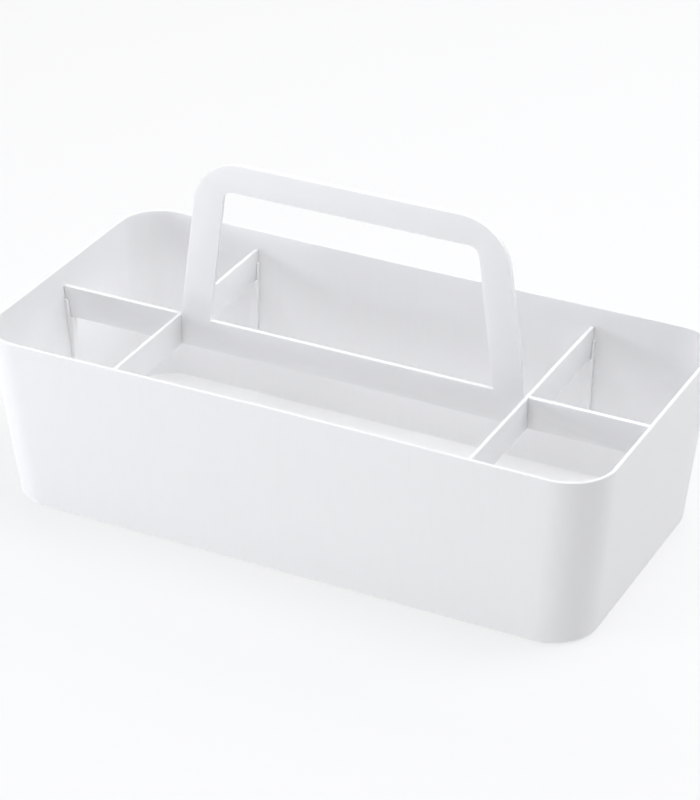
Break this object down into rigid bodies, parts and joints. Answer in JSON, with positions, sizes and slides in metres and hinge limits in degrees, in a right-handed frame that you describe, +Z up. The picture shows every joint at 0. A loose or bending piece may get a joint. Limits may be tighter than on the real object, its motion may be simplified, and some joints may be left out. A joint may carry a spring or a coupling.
{
  "type": "cleaning caddy",
  "caption": "Open white plastic carry tub with tapered walls, a flat upright handle plate along the middle and cross dividers that hang near the top.",
  "frame": {"origin": "middle of the underside of the tub, on the surface it stands on", "axes": "+Z up; +X along the tub's length, in the plane of the handle plate; +Y across the tub"},
  "size_m": [0.32, 0.1606, 0.1668],
  "materials": {
    "tub_plastic": "white polypropylene, satin, with a fine mould grain",
    "plate_plastic": "white polypropylene, satin, smoother than the tub"
  },
  "bodies": {
    "tub": {"tub": "tub_plastic", "handle_divider": "plate_plastic"},
    "cross_divider_left": {"cross_divider_left": "plate_plastic"},
    "cross_divider_right": {"cross_divider_right": "plate_plastic"}
  },
  "joints": [
    {"name": "left_divider_lift", "type": "slide", "parent": "tub", "child": "cross_divider_left", "axis": [0, 0, 1], "range_m": [0, 0.03]},
    {"name": "right_divider_lift", "type": "slide", "parent": "tub", "child": "cross_divider_right", "axis": [0, 0, 1], "range_m": [0, 0.03]}
  ]
}
